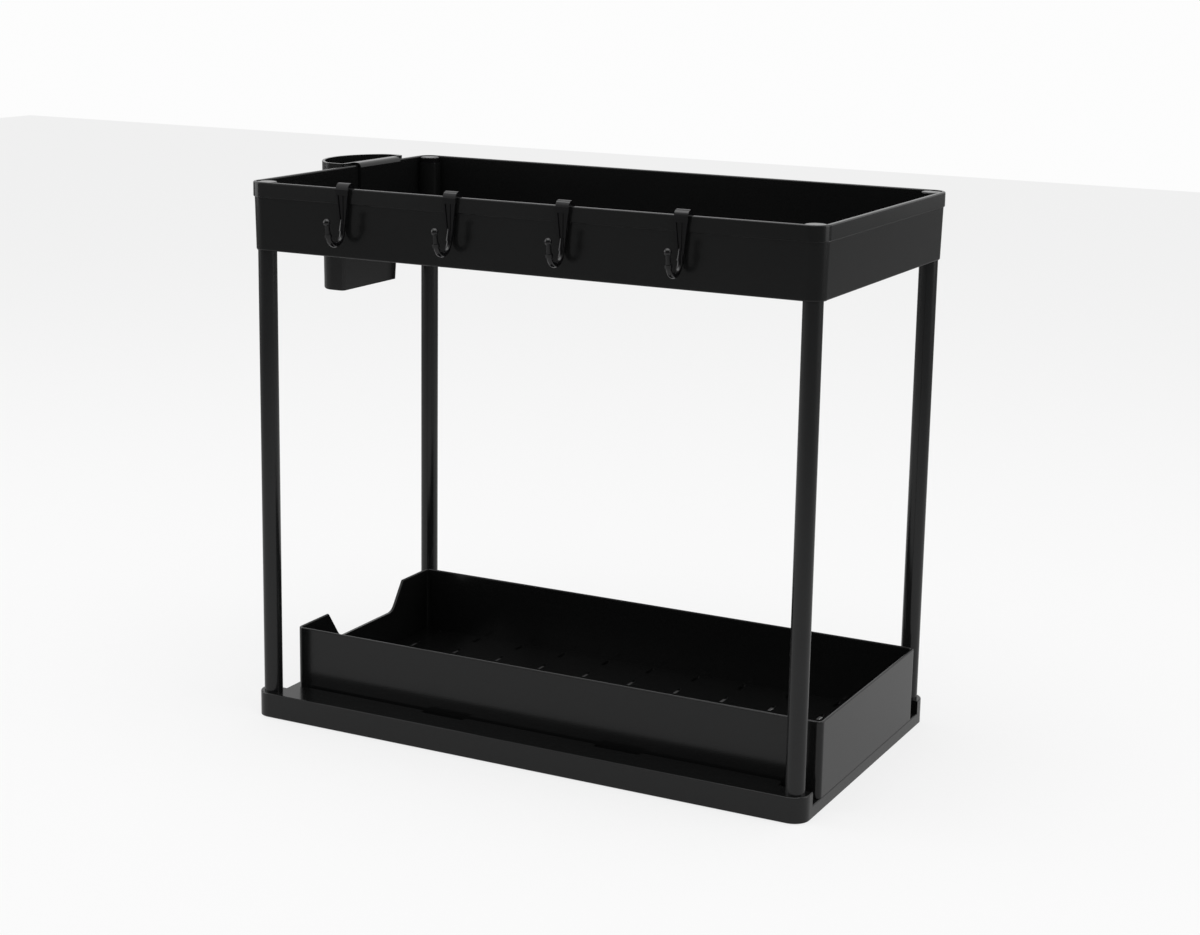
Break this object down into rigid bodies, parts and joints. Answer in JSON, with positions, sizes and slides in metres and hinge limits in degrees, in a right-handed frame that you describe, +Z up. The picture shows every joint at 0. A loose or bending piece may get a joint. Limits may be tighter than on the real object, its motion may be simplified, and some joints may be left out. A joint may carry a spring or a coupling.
{
  "type": "under sink organizer",
  "caption": "Tiered under-sink organizer: an open tray on posts above a slide-out drawer in a low base frame, with hooks on the tray's rim and a cup hung from its end.",
  "frame": {"origin": "on the floor, under the middle of the whole object's box, cup and hooks included", "axes": "+Z up; +X along the unit, away from the cup and the drawer's open end; +Y from the hooks' side to the back"},
  "size_m": [0.423, 0.2362, 0.3562],
  "materials": {
    "frame_plastic": "satin black",
    "drawer_plastic": "satin black",
    "tray_plastic": "satin black",
    "post_tube": "satin black paint",
    "cap_plastic": "gloss black",
    "hook_plastic": "gloss black",
    "cup_plastic": "satin black"
  },
  "bodies": {
    "rack": {"base_frame": "frame_plastic", "top_tray": "tray_plastic", "post_front_left": "post_tube", "post_front_right": "post_tube", "post_back_left": "post_tube", "post_back_right": "post_tube", "cap_front_left": "cap_plastic", "cap_front_right": "cap_plastic", "cap_back_left": "cap_plastic", "cap_back_right": "cap_plastic"},
    "drawer": {"drawer": "drawer_plastic"},
    "hook_1": {"hook_1": "hook_plastic"},
    "hook_2": {"hook_2": "hook_plastic"},
    "hook_3": {"hook_3": "hook_plastic"},
    "hook_4": {"hook_4": "hook_plastic"},
    "cup": {"hanging_cup": "cup_plastic"}
  },
  "joints": [
    {"name": "drawer_slide", "type": "slide", "parent": "rack", "child": "drawer", "axis": [-1, 0, 0], "range_m": [0, 0.26]},
    {"name": "hook_1_lift", "type": "slide", "parent": "rack", "child": "hook_1", "axis": [0, 0, 1], "range_m": [0, 0.03]},
    {"name": "hook_2_lift", "type": "slide", "parent": "rack", "child": "hook_2", "axis": [0, 0, 1], "range_m": [0, 0.03]},
    {"name": "hook_3_lift", "type": "slide", "parent": "rack", "child": "hook_3", "axis": [0, 0, 1], "range_m": [0, 0.03]},
    {"name": "hook_4_lift", "type": "slide", "parent": "rack", "child": "hook_4", "axis": [0, 0, 1], "range_m": [0, 0.03]},
    {"name": "cup_lift", "type": "slide", "parent": "rack", "child": "cup", "axis": [0, 0, 1], "range_m": [0, 0.045]}
  ]
}
